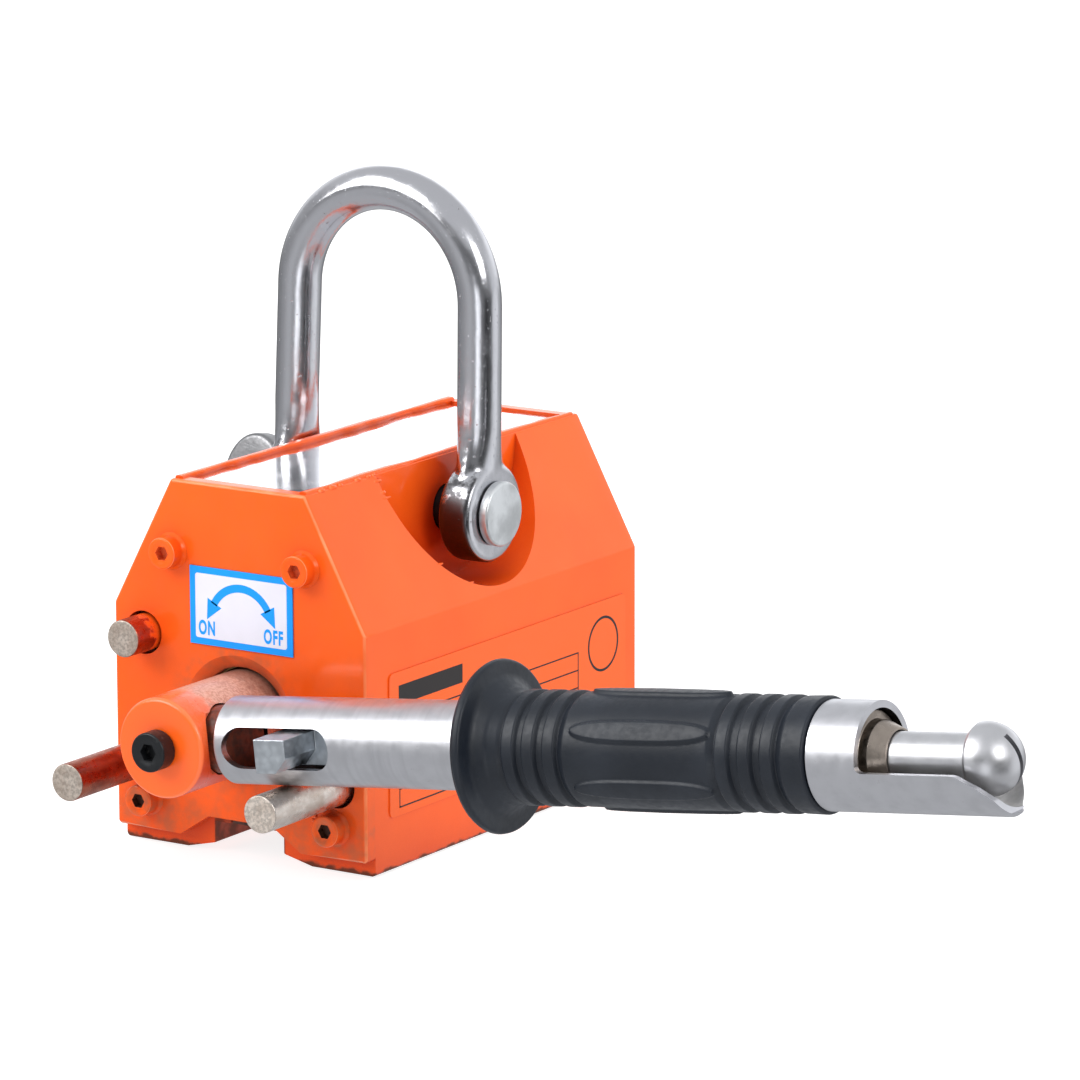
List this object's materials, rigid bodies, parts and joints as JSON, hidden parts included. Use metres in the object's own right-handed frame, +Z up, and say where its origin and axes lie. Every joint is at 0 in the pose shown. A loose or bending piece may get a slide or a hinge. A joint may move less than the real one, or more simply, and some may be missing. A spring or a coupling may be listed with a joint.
{
  "type": "permanent lifting magnet",
  "caption": "Switchable permanent lifting magnet: flat pole feet, side handle with thumb release that turns the magnet rotor between two stops, swinging shackle on top.",
  "frame": {"origin": "middle of the whole object's footprint, at the level of the pole faces", "axes": "+Z up, +X along the handle as it rests, -Y out of the front cover that the shaft comes through"},
  "size_m": [0.2082, 0.1264, 0.1231],
  "materials": {
    "orange_paint": "semi-gloss, a little grime and small chips",
    "polished_chrome": "polished over a slightly lumpy forging",
    "satin_chrome": "satin, fine machining lines round it",
    "zinc_plate": "bluish zinc, worn",
    "worn_nickel": "worn satin with rough sawn ends",
    "black_steel": "black phosphate",
    "black_rubber": "matt moulded",
    "bright_plate": "bright",
    "blue_label": "printed film",
    "clear_film": "clear film over paint",
    "pole_iron": "machined",
    "magnet": "nickel plated",
    "brass": "machined",
    "spring_steel": "drawn wire"
  },
  "bodies": {
    "housing_body": {"housing": "orange_paint", "front_cover": "orange_paint", "rear_cover": "orange_paint", "nonmagnetic_strip": "brass", "fixed_magnet_1": "magnet", "fixed_magnet_2": "magnet", "front_bearing": "brass", "rear_bearing": "brass", "front_cover_screw_1": "orange_paint", "front_cover_screw_2": "orange_paint", "front_cover_screw_3": "orange_paint", "front_cover_screw_4": "orange_paint", "rear_cover_screw_1": "orange_paint", "rear_cover_screw_2": "orange_paint", "rear_cover_screw_3": "orange_paint", "rear_cover_screw_4": "orange_paint", "stop_pin_lock": "worn_nickel", "stop_pin_on": "worn_nickel", "stop_pin_off": "worn_nickel", "rating_plate": "bright_plate", "switch_label": "blue_label", "side_label": "clear_film"},
    "rotor": {"drive_shaft": "orange_paint", "rear_stub_shaft": "pole_iron", "rotor_pole_a": "pole_iron", "rotor_pole_b": "pole_iron", "rotor_magnet_1": "magnet", "rotor_magnet_2": "magnet", "handle_clamp_screw": "black_steel", "handle_spigot": "black_steel", "handle_tube": "satin_chrome", "handle_sleeve": "satin_chrome", "grip": "black_rubber", "spring_seat": "zinc_plate", "guide_bush": "zinc_plate", "return_spring": "spring_steel"},
    "release_plunger": {"latch_key": "zinc_plate", "plunger_rod": "satin_chrome", "rod_collar": "zinc_plate", "thumb_button": "polished_chrome"},
    "shackle": {"shackle_bow": "polished_chrome", "shackle_pin": "black_steel"}
  },
  "joints": [
    {"name": "rotor_turn", "type": "hinge", "parent": "housing_body", "child": "rotor", "pos_m": [-0.06922, -0.04765, 0.0262], "axis": [0, -1, 0], "range_deg": [0, 167.3]},
    {"name": "button_push", "type": "slide", "parent": "rotor", "child": "release_plunger", "axis": [-0.9939, 0, -0.1106], "range_m": [0, 0.0092], "stiffness_N_per_m": 600, "springref_m": -0.01, "deforming": ["return_spring"]},
    {"name": "shackle_swing", "type": "hinge", "parent": "housing_body", "child": "shackle", "pos_m": [-0.06922, 0.01405, 0.0598], "axis": [1, 0, 0], "range_deg": [-60, 60]}
  ]
}
